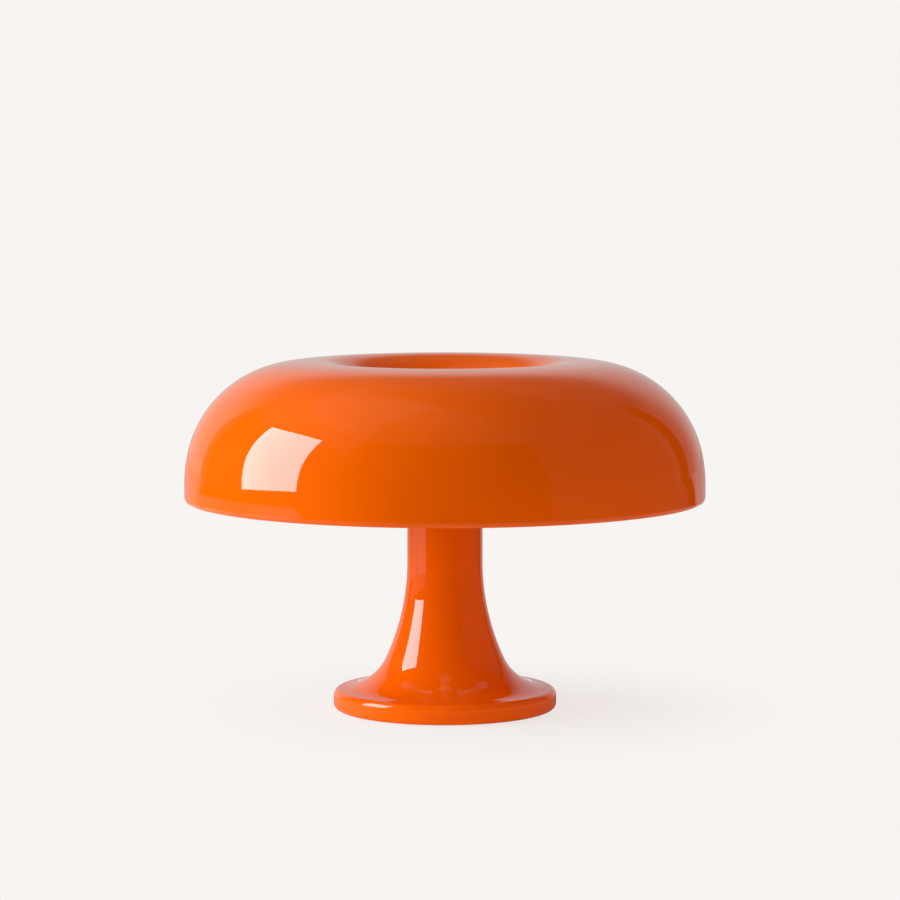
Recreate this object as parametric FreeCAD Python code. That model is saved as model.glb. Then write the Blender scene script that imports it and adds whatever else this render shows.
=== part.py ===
import FreeCAD, Part
import math
import os

# Mushroom table lamp. Millimetres; +Z up, the table is z = 0, the lamp axis is the Z axis.
# The photograph looks along +Y; the cable inlet is at the rear, on +Y.

V = FreeCAD.Vector

# ---------------------------------------------------------------- driving sizes
overall_height = 215.5
foot_diameter = 137.6
shade_diameter = 320.0
column_diameter = 46.4
globe_diameter = 45.0
bulb_count = 4

# shade: a straight side, three tangent arcs from it to the crest, then the crater
shade_wall = 3.2
shade_side = 9.5
side_arc = 93.0
side_arc_end = 77.0
crest_arc = 165.0
crest_arc_end = 6.6
crest_radius = 78.2
crater_depth = 38.0
crater_lip = 30.0
crater_wall_angle = 75.0
rim_rounding = 2.0
rim_inner_rounding = 1.0
collar_wall = 3.0

# stem and foot: a straight column, two tangent arcs and a thin sloping flange
stem_wall = 3.0
skirt_wall = 3.6
skirt_low = 0.6
flare_start = 92.1
long_flare_turn = 24.9
flange_slope = 1.7
flange_height = 13.0
foot_edge = 4.0
foot_rounding = 3.4
web_low = 20.0
web_thickness = 3.0
boss_radius = 4.0
boss_top = 30.0
boss_angles = (30, 150, 270)
rib_thickness = 2.0
rib_top = 40.0
rib_angles = (0, 60, 120, 180, 240, 300)

# what closes and weights the foot
pad_height = 1.2
pad_width = 9.0
pad_inset = 3.9
plate_height = 2.0
ballast_height = 6.0
base_screw_shank = 1.5
base_screw_head = 2.8
base_screw_sink = 1.5
base_screw_length = 8.0

# cable inlet bush and terminal block
inlet_hole = 3.5
inlet_bore = 2.5
inlet_flange = 4.6
inlet_flange_depth = 1.4
inlet_flange_taper = 0.5
inlet_recess = 1.0
inlet_inside = 1.0
ballast_slot_gap = 1.5
block_width = 18.0
block_near = 14.0
block_length = 16.0
block_height = 10.0
block_rounding = 0.8
block_groove = 1.6
block_groove_floor = 4.0
way_height = 3.8
way_apart = 4.5
way_radius = 1.6
clamp_apart = 8.0
clamp_radius = 1.9
clamp_hole = 2.0
clamp_sink = 1.0

# wiring
lead_radius = 0.9
lead_apart = 1.8
lead_insert = 4.0
lead_bend = 5.0
live_straight = 3.3
link_wire = 0.8
link_gap = 1.5
link_start = 60.0
link_end = 390.0
live_rise = 7.25
strip_width = 4.0
strip_thickness = 0.5

# tie tube, washers and nuts
tube_outer = 5.0
tube_wall = 1.0
tube_proud_below = 2.2
tube_proud_above = 0.7
nut_flats = 14.0
nut_height = 3.0
nut_chamfer = 0.6
washer_radius = 9.0
washer_height = 0.8

# folded sheet hub and its lid
hub_sheet = 1.5
hub_inset = 0.3
tab_width = 22.0
spigot_depth = 4.0
spigot_wall = 2.1
lid_flange_width = 10.0
lid_flange_depth = 8.5
lid_overhang = 4.6
lid_height = 5.3
lid_disc = 2.7
lid_skirt = 2.2
lid_screw_inset = 5.0
lid_boss = 3.6
lid_screw_shank = 1.5
lid_screw_head = 2.8
lid_screw_sink = 1.6
lid_screw_length = 9.0
lid_screw_set = 0.2

# lampholders: lengths run outward along the bulb axis from the hub's tab
holder_length = 32.0
holder_body = 15.0
holder_radius = 12.5
holder_clear = 1.5
holder_nose_inset = 2.1
holder_soft = 1.5
holder_nose_chamfer = 1.0
holder_back_wall = 2.5
holder_wall = 2.3
holder_web = 8.0
holder_web_thickness = 2.5
holder_screw_offset = 8.0
holder_screw_shank = 1.25
holder_screw_head = 2.3
holder_screw_head_height = 1.4
holder_screw_length = 7.5
shell_wall = 0.4
shell_back_hole = 5.2
shell_set_back = 1.5
plunger_radius = 2.3
plunger_tip = 1.6
plunger_dome = 0.4
contact_upright_drop = 3.0

# bulbs
bulb_seat = 13.0
cap_radius = 6.7
cap_length = 24.0
cap_sheet = 0.4
cap_end_radius = 3.0
cap_cone_radius = 5.0
cap_cone_end = 4.4
cap_shoulder_inset = 0.9
cap_shoulder_start = 4.8
cap_thread_start = 6.2
cap_floor = 7.0
contact_tip_radius = 1.7
contact_dome = 0.6
contact_depth = 2.0
neck_bead = 0.9
neck_bead_rise = 0.6
neck_depth = 6.0
neck_straight = 1.7
shoulder_radius = 14.0
glass_wall = 0.8

# slots in screw heads
slot_width = 0.7
slot_depth = 0.45
clamp_slot_depth = 0.8

# clearances
free_gap = 0.4
plate_gap = 0.3
slide_gap = 0.2
running = 0.1
touch_gap = 0.05
pad_gap = 3.2
ballast_gap = 3.7
block_gap = 2.7
slot_gap = 1.0
overrun = 2.0


# quarter turns, and the corner angle of a hexagon
right_angle = 90.0
hexagon_angle = 60.0


def sine(degrees):
    return math.sin(math.radians(degrees))


def cosine(degrees):
    return math.cos(math.radians(degrees))


# ---------------------------------------------------------------- derived sizes
shade_radius = shade_diameter / 2
foot_radius = foot_diameter / 2
column_radius = column_diameter / 2
globe_radius = globe_diameter / 2
bulb_step = 360.0 / bulb_count

# the shade's main arc joins the side arc to the crest arc; the rise is all three together
side_run = side_arc * (1 - sine(side_arc_end))
crest_run = crest_arc * sine(crest_arc_end)
main_run = shade_radius - crest_radius - side_run - crest_run
main_arc = main_run / (sine(side_arc_end) - sine(crest_arc_end))
side_rise = side_arc * cosine(side_arc_end)
main_rise = main_arc * (cosine(crest_arc_end) - cosine(side_arc_end))
crest_rise = crest_arc * (1 - cosine(crest_arc_end))
wall_top = overall_height - side_rise - main_rise - crest_rise
rim_height = wall_top - shade_side
bowl_arc = crater_depth / (1 - cosine(crater_wall_angle)) - crater_lip
floor_radius = crest_radius - (crater_lip + bowl_arc) * sine(crater_wall_angle)

crater_floor = overall_height - crater_depth
lid_top = crater_floor - shade_wall
lid_seat = lid_top - lid_height
hub_height = 2 * (holder_radius + holder_clear)
stem_top = lid_seat - hub_height
bulb_axis = stem_top + hub_height / 2
collar_low = lid_seat + free_gap
lid_radius = column_radius + lid_overhang
collar_bore = lid_radius + free_gap

# the two flare arcs leave the column upright and meet the flange at its slope
flange_turn = right_angle - flange_slope
flare_run = foot_radius - foot_edge * (1 - sine(flange_slope)) - column_radius
flare_fall = flare_start - flange_height
long_side = 1 - cosine(long_flare_turn)
long_down = sine(long_flare_turn)
short_side = cosine(long_flare_turn) - cosine(flange_turn)
short_down = sine(flange_turn) - sine(long_flare_turn)
flare_spread = short_side * long_down - short_down * long_side
long_flare = (flare_fall * short_side - flare_run * short_down) / flare_spread
short_flare = (flare_run * long_down - flare_fall * long_side) / flare_spread

plate_top = pad_height + plate_height
skirt_inner = foot_radius - skirt_wall
plate_radius = skirt_inner - plate_gap
pad_outer = plate_radius - pad_inset
pad_inner = pad_outer - pad_width
boss_circle = pad_inner - pad_gap - base_screw_head
block_far = block_near + block_length
block_top = plate_top + block_height
ballast_inner = math.hypot(block_width / 2, block_far) + block_gap
ballast_outer = skirt_inner - ballast_gap
ballast_top = plate_top + ballast_height
inlet_height = plate_top + inlet_hole + slide_gap
inlet_end = skirt_inner - inlet_inside
inlet_seat = foot_radius - inlet_recess

tube_inner = tube_outer - tube_wall
tube_low = web_low - washer_height - nut_height - tube_proud_below
tube_high = stem_top + hub_sheet + washer_height + nut_height + tube_proud_above

hub_radius = column_radius - hub_inset
hub_reach = math.sqrt(hub_radius ** 2 - (tab_width / 2) ** 2) - running
lid_screw_circle = hub_reach - lid_screw_inset
link_radius = hub_reach - hub_sheet - link_gap - link_wire
shell_inner = cap_radius + free_gap
shell_outer = shell_inner + shell_wall
live_level = bulb_axis + live_rise
neutral_level = bulb_axis - shell_outer - touch_gap - strip_thickness / 2
lead_low = plate_top + way_height
link_grip = link_radius + link_wire

holder_front = hub_reach + holder_length
holder_step = hub_reach + holder_body
web_back = hub_reach + holder_web
web_front = web_back + holder_web_thickness
bulb_foot = hub_reach + bulb_seat
plunger_end = bulb_foot - free_gap
cap_front = bulb_foot + cap_length
neck_radius = cap_radius - cap_sheet - running
bead_radius = neck_radius + neck_bead
shoulder_start = cap_front + neck_straight
shoulder_apart = globe_radius + shoulder_radius
shoulder_side = bead_radius + shoulder_radius
globe_centre = shoulder_start + math.sqrt(shoulder_apart ** 2 - shoulder_side ** 2)
shoulder_turn = math.degrees(math.acos(shoulder_side / shoulder_apart))


# ---------------------------------------------------------------- helpers
def chain(start, heading, moves):
    """Tangent lines and arcs in the r-z plane; a positive sweep turns left."""
    r, z = start
    edges = []
    for move in moves:
        if len(move) == 1:
            new_r = r + move[0] * cosine(heading)
            new_z = z + move[0] * sine(heading)
            edges.append(Part.makeLine(V(r, 0, z), V(new_r, 0, new_z)))
        else:
            radius, sweep = move
            side = 1.0 if sweep > 0 else -1.0
            centre_r = r - side * radius * sine(heading)
            centre_z = z + side * radius * cosine(heading)
            points = []
            for part in (0.5, 1.0):
                turned_to = heading + sweep * part
                points.append((centre_r + side * radius * sine(turned_to),
                               centre_z - side * radius * cosine(turned_to)))
            middle, (new_r, new_z) = points
            arc = Part.Arc(V(r, 0, z), V(middle[0], 0, middle[1]), V(new_r, 0, new_z))
            edges.append(arc.toShape())
            heading = heading + sweep
        r, z = new_r, new_z
    return edges, (r, z), heading


def line(start, end):
    return Part.makeLine(V(start[0], 0, start[1]), V(end[0], 0, end[1]))


def path(points):
    return [line(a, b) for a, b in zip(points[:-1], points[1:])]


def turned(edges):
    """Solid of revolution about Z from the edges of a closed half outline."""
    wire = Part.Wire(Part.__sortEdges__(edges))
    return Part.Face(wire).revolve(V(0, 0, 0), V(0, 0, 1), 360)


def rod(radius, low, high):
    return Part.makeCylinder(radius, high - low, V(0, 0, low))


def ring(inner, outer, low, high):
    return rod(outer, low, high).cut(rod(inner, low - overrun, high + overrun))


def box(x, y, z):
    return Part.makeBox(x[1] - x[0], y[1] - y[0], z[1] - z[0], V(x[0], y[0], z[0]))


def moved(shape, x, y, z):
    copy = shape.copy()
    copy.translate(V(x, y, z))
    return copy


def spun(shape, degrees):
    copy = shape.copy()
    copy.rotate(V(0, 0, 0), V(0, 0, 1), degrees)
    return copy


def fused(shapes):
    whole = shapes[0]
    for shape in shapes[1:]:
        whole = whole.fuse(shape)
    return whole.removeSplitter()


def on_circle(shape, radius, angles):
    return [moved(shape, radius * cosine(a), radius * sine(a), 0) for a in angles]


def round_hub(shape):
    return [spun(shape, k * bulb_step) for k in range(bulb_count)]


def hexagon(across_flats, low, high, bore):
    corner = across_flats / 2 / cosine(hexagon_angle / 2)
    points = [V(corner * cosine(hexagon_angle * k), corner * sine(hexagon_angle * k), low)
              for k in range(7)]
    prism = Part.Face(Part.makePolygon(points)).extrude(V(0, 0, high - low))
    blunt = Part.makeCone(corner + 2 * nut_chamfer, corner - nut_chamfer, high - low,
                          V(0, 0, low))
    return prism.common(blunt).cut(rod(bore, low, high))


def screw(flat, way, length, shank, head, sink):
    """Countersunk screw on Z; the flat of its head is at the level flat, way is 1 up or -1."""
    cone = Part.makeCone(head, shank, sink, V(0, 0, flat), V(0, 0, way))
    stem = Part.makeCylinder(shank, length, V(0, 0, flat), V(0, 0, way))
    slot = box((-head, head), (-slot_width / 2, slot_width / 2),
               (flat - slot_depth, flat + slot_depth))
    return cone.fuse(stem).cut(slot)


def screw_hole(flat, way, shank, head, sink, beyond):
    """What a countersunk screw needs cut out, out to beyond on the side of its head."""
    cone = Part.makeCone(head, shank, sink, V(0, 0, flat), V(0, 0, way))
    mouth = Part.makeCylinder(head, beyond, V(0, 0, flat), V(0, 0, -way))
    return cone.fuse(mouth)


def wire_run(x, azimuth, start, heading, moves, radius):
    """Round wire bent in the upright plane through (x, 0) at the azimuth."""
    edges, end, last = chain(start, heading, moves)
    route = Part.Wire(edges)
    route.rotate(V(0, 0, 0), V(0, 0, 1), azimuth)
    route.translate(V(x, 0, 0))
    first = route.Edges[0]
    tangent = first.tangentAt(first.FirstParameter)
    begin = first.valueAt(first.FirstParameter)
    profile = Part.Wire(Part.makeCircle(radius, begin, tangent))
    return route.makePipeShell([profile], True, False)


def laid(shape, index):
    """Lay a shape made on Z along the bulb axis, with its Z as the distance from the lamp axis."""
    copy = shape.copy()
    copy.rotate(V(0, 0, 0), V(0, 1, 0), right_angle)
    copy.translate(V(0, 0, bulb_axis))
    return spun(copy, index * bulb_step)


# ---------------------------------------------------------------- shade
def shade_outline(offset, begin):
    """Up the side and over the crest into the crater, to the axis, set in by offset."""
    moves = [(wall_top - begin,),
             (side_arc - offset, right_angle - side_arc_end),
             (main_arc - offset, side_arc_end - crest_arc_end),
             (crest_arc - offset, crest_arc_end),
             (crater_lip - offset, crater_wall_angle),
             (bowl_arc + offset, -crater_wall_angle),
             (floor_radius,)]
    return chain((shade_radius - offset, begin), right_angle, moves)


def make_shade():
    inner_start = rim_height + rim_inner_rounding
    outer, outer_end, heading = shade_outline(0, rim_height + rim_rounding)
    inner, inner_end, heading = shade_outline(shade_wall, inner_start)
    rim, rim_end, heading = chain((shade_radius - shade_wall, inner_start), -right_angle,
                                  [(rim_inner_rounding, right_angle),
                                   (shade_wall - rim_inner_rounding - rim_rounding,),
                                   (rim_rounding, right_angle)])
    shell = turned(outer + inner + rim + [line(outer_end, inner_end)])
    middle, middle_end, heading = shade_outline(shade_wall / 2, rim_height)
    corner = (shade_radius - shade_wall / 2, rim_height)
    under = turned(middle + path([middle_end, (0, rim_height), corner]))
    collar = ring(collar_bore, collar_bore + collar_wall, collar_low, overall_height)
    return fused([shell, collar.common(under)])


# ---------------------------------------------------------------- stem and foot
def flare(offset):
    """Outline down the column and the flare, set in by offset, to the flange's slope."""
    return chain((column_radius - offset, stem_top), -right_angle,
                 [(stem_top - flare_start,),
                  (long_flare + offset, long_flare_turn),
                  (short_flare + offset, flange_turn - long_flare_turn)])


def stem_outside():
    edges, end, heading = flare(0)
    corner, (r, z), heading = chain(end, heading, [(foot_edge, -flange_turn)])
    skirt, (r, z), heading = chain((r, z), heading,
                                   [(z - skirt_low - foot_rounding,),
                                    (foot_rounding, -right_angle)])
    top = (column_radius, stem_top)
    return turned(edges + corner + skirt + path([(r, z), (0, z), (0, stem_top), top]))


def stem_inside(offset, radius):
    """The space under the flare at this offset, as wide as the radius in the foot."""
    edges, (r, z), heading = flare(offset)
    past = foot_radius + overrun
    edge = (past, z - (past - r) * math.tan(math.radians(flange_slope)))
    low = skirt_low - overrun
    top = (column_radius - offset, stem_top)
    closing = path([(r, z), edge, (past, low), (0, low), (0, stem_top), top])
    return turned(edges + closing).common(rod(radius, low, stem_top))


def make_stem_and_foot():
    shell = stem_outside().cut(stem_inside(stem_wall, skirt_inner))
    middle = stem_inside(stem_wall / 2, foot_radius - skirt_wall / 2)
    web = ring(tube_outer + running, foot_radius, web_low, web_low + web_thickness)
    boss = rod(boss_radius, plate_top, boss_top)
    rib = box((ballast_inner, foot_radius), (-rib_thickness / 2, rib_thickness / 2),
              (ballast_top, rib_top))
    inside = [web] + on_circle(boss, boss_circle, boss_angles)
    inside += [spun(rib, angle) for angle in rib_angles]
    whole = fused([shell] + [piece.common(middle) for piece in inside])
    pilot = rod(base_screw_shank, pad_height, pad_height + base_screw_length)
    for hole in on_circle(pilot, boss_circle, boss_angles):
        whole = whole.cut(hole)
    inlet = Part.makeCylinder(inlet_hole, skirt_wall + 2 * overrun,
                              V(0, skirt_inner - overrun, inlet_height), V(0, 1, 0))
    recess = Part.makeCylinder(inlet_flange + running, inlet_recess + overrun,
                               V(0, inlet_seat, inlet_height), V(0, 1, 0))
    return whole.cut(inlet).cut(recess)


def make_base_plate():
    plate = rod(plate_radius, pad_height, plate_top)
    hole = screw_hole(pad_height, 1, base_screw_shank, base_screw_head, base_screw_sink, overrun)
    hole = hole.fuse(rod(base_screw_shank, pad_height, plate_top + overrun))
    for cutter in on_circle(hole, boss_circle, boss_angles):
        plate = plate.cut(cutter)
    return plate


def make_base_screws():
    one = screw(pad_height, 1, base_screw_length, base_screw_shank, base_screw_head,
                base_screw_sink)
    return Part.makeCompound(on_circle(one, boss_circle, boss_angles))


def make_foot_pad():
    return ring(pad_inner, pad_outer, 0, pad_height)


def make_ballast():
    solid = ring(ballast_inner, ballast_outer, plate_top, ballast_top)
    hole = rod(boss_radius + free_gap, plate_top - overrun, ballast_top + overrun)
    for cutter in on_circle(hole, boss_circle, boss_angles):
        solid = solid.cut(cutter)
    half = inlet_hole + ballast_slot_gap
    slot = box((-half, half), (0, foot_radius), (plate_top - overrun, ballast_top + overrun))
    return solid.cut(slot)


def make_inlet_bush():
    body = Part.makeCylinder(inlet_hole, foot_radius - inlet_end,
                             V(0, inlet_end, inlet_height), V(0, 1, 0))
    flange = Part.makeCone(inlet_flange, inlet_flange - inlet_flange_taper, inlet_flange_depth,
                           V(0, inlet_seat, inlet_height), V(0, 1, 0))
    bore = Part.makeCylinder(inlet_bore, skirt_wall + inlet_flange_depth + 2 * overrun,
                             V(0, inlet_end - overrun, inlet_height), V(0, 1, 0))
    return body.fuse(flange).cut(bore).removeSplitter()


# ---------------------------------------------------------------- terminal block and leads
def clamp_places():
    middle = (block_near + block_far) / 2
    near, far = middle - clamp_apart / 2, middle + clamp_apart / 2
    return [(side * way_apart, y) for side in (-1, 1) for y in (near, far)]


def make_terminal_block():
    block = box((-block_width / 2, block_width / 2), (block_near, block_far),
                (plate_top, block_top))
    upright = [edge for edge in block.Edges if abs(edge.tangentAt(0).z) > 0.9]
    block = block.makeFillet(block_rounding, upright)
    groove = box((-block_groove / 2, block_groove / 2), (block_near, block_far),
                 (plate_top + block_groove_floor, block_top))
    block = block.cut(groove)
    for side in (-1, 1):
        block = block.cut(Part.makeCylinder(way_radius, block_far + overrun,
                                            V(side * way_apart, 0, lead_low), V(0, 1, 0)))
    for x, y in clamp_places():
        block = block.cut(moved(rod(clamp_hole, lead_low, block_top + overrun), x, y, 0))
    return block


def make_terminal_screws():
    top = block_top - clamp_sink
    slot = box((-clamp_hole, clamp_hole), (-slot_width / 2, slot_width / 2),
               (top - clamp_slot_depth, top + overrun))
    screws = []
    for x, y in clamp_places():
        on_lead = y < (block_near + block_far) / 2
        low = lead_low + (lead_radius if on_lead else 0)
        screws.append(moved(rod(clamp_radius, low, top).cut(slot), x, y, 0))
    return Part.makeCompound(screws)


def make_lead(live):
    """A lead from its clamp, up the tie tube and out to its link."""
    side = 1 if live else -1
    level = live_level if live else bulb_axis
    run = block_near + lead_insert
    splay = math.degrees(math.atan((way_apart - lead_apart) / run))
    inset = lead_apart * sine(splay)
    moves = [(run - lead_bend,), (lead_bend, -right_angle)]
    if live:
        meet = link_radius - link_wire - touch_gap
        reach = math.sqrt(inset ** 2 + meet ** 2 - lead_apart ** 2) - inset
        top_bend = reach - live_straight
        moves += [(level - top_bend - lead_low - lead_bend,),
                  (top_bend, -right_angle), (live_straight,)]
    else:
        reach = math.sqrt(inset ** 2 + link_radius ** 2 - lead_apart ** 2) + inset
        fall = level - lead_bend - neutral_level - link_wire - touch_gap
        moves += [(level - 2 * lead_bend - lead_low,), (lead_bend, right_angle),
                  (reach - 2 * lead_bend,), (lead_bend, right_angle), (fall,)]
    azimuth = right_angle - side * splay
    return wire_run(side * lead_apart, azimuth, (run, lead_low), 180, moves, lead_radius)


def make_link(level):
    """Three quarters of a circle and more, open where the lamp's front quarter begins."""
    circle = Part.makeCircle(link_radius, V(0, 0, level), V(0, 0, 1), link_start,
                             link_end)
    begin = circle.valueAt(circle.FirstParameter)
    tangent = circle.tangentAt(circle.FirstParameter)
    profile = Part.Wire(Part.makeCircle(link_wire, begin, tangent))
    return Part.Wire(circle).makePipeShell([profile], True, False)


# ---------------------------------------------------------------- tie tube, nuts, hub, lid
def make_washer(low):
    return ring(tube_outer + running, washer_radius, low, low + washer_height)


def make_nut(low):
    return hexagon(nut_flats, low, low + nut_height, tube_outer)


def make_socket_hub():
    base = ring(tube_outer + running, hub_radius, stem_top, stem_top + hub_sheet)
    spigot_outer = column_radius - stem_wall - running
    spigot = ring(spigot_outer - spigot_wall, spigot_outer, stem_top - spigot_depth, stem_top)
    half = tab_width / 2
    tab = box((hub_reach - hub_sheet, hub_reach), (-half, half), (stem_top, lid_seat))
    slot_half = strip_width / 2 + slot_gap
    slot_rise = 2 * slot_gap
    for level in (live_level, neutral_level):
        tab = tab.cut(box((0, hub_radius + overrun), (-slot_half, slot_half),
                          (level - slot_rise, level + slot_rise)))
    for side in (-1, 1):
        tab = tab.cut(Part.makeCylinder(holder_screw_shank, hub_radius + overrun,
                                        V(0, side * holder_screw_offset, bulb_axis),
                                        V(1, 0, 0)))
    flange = box((hub_reach - lid_flange_depth, hub_reach),
                 (-lid_flange_width / 2, lid_flange_width / 2), (lid_seat - hub_sheet, lid_seat))
    flange = flange.cut(moved(rod(lid_screw_shank, lid_seat - lid_screw_length, lid_seat),
                              lid_screw_circle, 0, 0))
    return fused([base, spigot] + round_hub(tab) + round_hub(flange))


def lid_screw_places():
    return (0, 2 * bulb_step)


def make_hub_lid():
    disc = rod(lid_radius, lid_top - lid_disc, lid_top)
    skirt = ring(lid_radius - lid_skirt, lid_radius, collar_low + free_gap, lid_top)
    boss = moved(rod(lid_boss, lid_seat, lid_top), lid_screw_circle, 0, 0)
    whole = fused([disc, skirt] + round_hub(boss))
    flat = lid_top - lid_screw_set
    hole = screw_hole(flat, -1, lid_screw_shank, lid_screw_head, lid_screw_sink, overrun)
    hole = hole.fuse(rod(lid_screw_shank, lid_seat - overrun, lid_top))
    for angle in lid_screw_places():
        whole = whole.cut(spun(moved(hole, lid_screw_circle, 0, 0), angle))
    return whole


def make_lid_screws():
    one = screw(lid_top - lid_screw_set, -1, lid_screw_length, lid_screw_shank, lid_screw_head,
                lid_screw_sink)
    one = moved(one, lid_screw_circle, 0, 0)
    return Part.makeCompound([spun(one, angle) for angle in lid_screw_places()])


# ---------------------------------------------------------------- lampholders
def make_holder(index):
    edges, end, heading = chain((0, hub_reach), 0,
                                [(holder_radius - holder_soft,), (holder_soft, right_angle),
                                 (holder_body - 2 * holder_soft,), (holder_soft, right_angle),
                                 (holder_nose_inset - holder_soft,)])
    nose = holder_radius - holder_nose_inset
    mouth = [(nose, holder_front - holder_nose_chamfer),
             (nose - holder_nose_chamfer, holder_front)]
    body = turned(edges + path([end] + mouth + [(0, holder_front), (0, hub_reach)]))
    body = body.cut(rod(shell_outer, web_front, holder_front + overrun))
    body = body.cut(rod(holder_radius - holder_wall, hub_reach + holder_back_wall, web_back))
    body = body.cut(rod(plunger_radius + plate_gap, web_back - overrun, web_front + overrun))
    body = laid(body, 0)
    half = strip_width / 2 + slide_gap
    thick = strip_thickness / 2 + slide_gap
    body = body.cut(box((0, web_back), (-half, half), (live_level - thick, live_level + thick)))
    body = body.cut(box((0, web_front + strip_width), (-half, half),
                        (neutral_level - thick, bulb_axis - shell_inner)))
    for side in (-1, 1):
        hole = Part.makeCylinder(holder_screw_shank, holder_screw_length + free_gap,
                                 V(hub_reach - hub_sheet, side * holder_screw_offset, bulb_axis),
                                 V(1, 0, 0))
        body = body.cut(hole)
    return spun(body, index * bulb_step)


def make_holder_shell(index):
    """Brass shell that the bulb's cap screws into, with the strip that reaches its link."""
    back = web_front + running
    tube = ring(shell_inner, shell_outer, back, holder_front - shell_set_back)
    floor = ring(shell_back_hole, shell_outer, back, back + shell_wall)
    strip = box((link_grip, web_front + strip_width - running),
                (-strip_width / 2, strip_width / 2),
                (neutral_level - strip_thickness / 2, bulb_axis - shell_outer + shell_wall / 2))
    return spun(laid(tube.fuse(floor), 0).fuse(strip).removeSplitter(), index * bulb_step)


def make_holder_contact(index):
    """Centre contact: a sprung plunger on an upright strip, with the strip to its link."""
    back = web_back - strip_thickness
    plunger = laid(rod(plunger_radius, back, plunger_end), 0)
    button = laid(Part.makeCone(plunger_radius, plunger_tip, plunger_dome,
                                V(0, 0, plunger_end)), 0)
    upright = box((back - strip_thickness, back), (-strip_width / 2, strip_width / 2),
                  (bulb_axis - contact_upright_drop, live_level + strip_thickness / 2))
    strip = box((link_grip, back), (-strip_width / 2, strip_width / 2),
                (live_level - strip_thickness / 2, live_level + strip_thickness / 2))
    return spun(fused([plunger, button, upright, strip]), index * bulb_step)


def make_holder_screws():
    inner_face = hub_reach - hub_sheet
    slot = box((inner_face - holder_screw_head_height - overrun,
                inner_face - holder_screw_head_height + slot_depth),
               (-slot_width / 2, slot_width / 2), (-holder_screw_head, holder_screw_head))
    shank = Part.makeCylinder(holder_screw_shank, holder_screw_length, V(inner_face, 0, 0),
                              V(1, 0, 0))
    head = Part.makeCylinder(holder_screw_head, holder_screw_head_height, V(inner_face, 0, 0),
                             V(-1, 0, 0))
    one = head.fuse(shank).cut(slot)
    screws = []
    for side in (-1, 1):
        screws += round_hub(moved(one, 0, side * holder_screw_offset, bulb_axis))
    return Part.makeCompound(screws)


# ---------------------------------------------------------------- bulbs
def make_bulb_contact(index):
    tip = Part.makeCone(contact_tip_radius, plunger_radius, contact_dome, V(0, 0, bulb_foot))
    body = rod(plunger_radius, bulb_foot + contact_dome, bulb_foot + contact_depth)
    return laid(body.fuse(tip).removeSplitter(), index)


def make_bulb_cap(index):
    """Cap: an insulated end that narrows to the foot contact, then the screwed shell."""
    inside = cap_radius - cap_sheet
    points = [(0, bulb_foot + contact_depth), (cap_end_radius, bulb_foot + contact_depth),
              (cap_cone_radius, bulb_foot + cap_cone_end),
              (cap_radius - cap_shoulder_inset, bulb_foot + cap_shoulder_start),
              (cap_radius, bulb_foot + cap_thread_start), (cap_radius, cap_front),
              (inside, cap_front), (inside, bulb_foot + cap_floor), (0, bulb_foot + cap_floor),
              (0, bulb_foot + contact_depth)]
    return laid(turned(path(points)), index)


def make_bulb_glass(index):
    """Blown envelope: a straight neck in the cap, a concave shoulder, then the globe."""
    def outline(wall):
        return chain((bead_radius - wall, shoulder_start), right_angle,
                     [(shoulder_radius + wall, -shoulder_turn),
                      (globe_radius - wall, right_angle + shoulder_turn)])

    outer, outer_end, heading = outline(0)
    inner, inner_end, heading = outline(glass_wall)
    neck_inner = neck_radius - glass_wall
    neck = [(bead_radius - glass_wall, shoulder_start),
            (bead_radius - glass_wall, cap_front + neck_bead_rise),
            (neck_inner, cap_front), (neck_inner, cap_front - neck_depth),
            (neck_radius, cap_front - neck_depth), (neck_radius, cap_front + running),
            (bead_radius, cap_front + running + neck_bead_rise), (bead_radius, shoulder_start)]
    return laid(turned(outer + inner + path(neck) + [line(outer_end, inner_end)]), index)


# ---------------------------------------------------------------- write the parts
parts = {
    "stem_and_foot": make_stem_and_foot(),
    "base_plate": make_base_plate(),
    "base_screws": make_base_screws(),
    "foot_pad": make_foot_pad(),
    "ballast_ring": make_ballast(),
    "cable_inlet_bush": make_inlet_bush(),
    "terminal_block": make_terminal_block(),
    "terminal_screws": make_terminal_screws(),
    "tie_tube": ring(tube_inner, tube_outer, tube_low, tube_high),
    "lower_washer": make_washer(web_low - washer_height),
    "lower_nut": make_nut(web_low - washer_height - nut_height),
    "socket_hub": make_socket_hub(),
    "upper_washer": make_washer(stem_top + hub_sheet),
    "upper_nut": make_nut(stem_top + hub_sheet + washer_height),
    "hub_lid": make_hub_lid(),
    "lid_screws": make_lid_screws(),
    "holder_screws": make_holder_screws(),
    "lead_live": make_lead(True),
    "lead_neutral": make_lead(False),
    "live_link": make_link(live_level),
    "neutral_link": make_link(neutral_level),
    "shade": make_shade(),
}
for number in range(bulb_count):
    parts["lampholder_%d" % (number + 1)] = make_holder(number)
    parts["holder_shell_%d" % (number + 1)] = make_holder_shell(number)
    parts["holder_contact_%d" % (number + 1)] = make_holder_contact(number)
    parts["bulb_contact_%d" % (number + 1)] = make_bulb_contact(number)
    parts["bulb_cap_%d" % (number + 1)] = make_bulb_cap(number)
    parts["bulb_glass_%d" % (number + 1)] = make_bulb_glass(number)

os.makedirs("parts", exist_ok=True)
for name in sorted(parts):
    parts[name].exportStep("parts/" + name + ".step")
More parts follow.
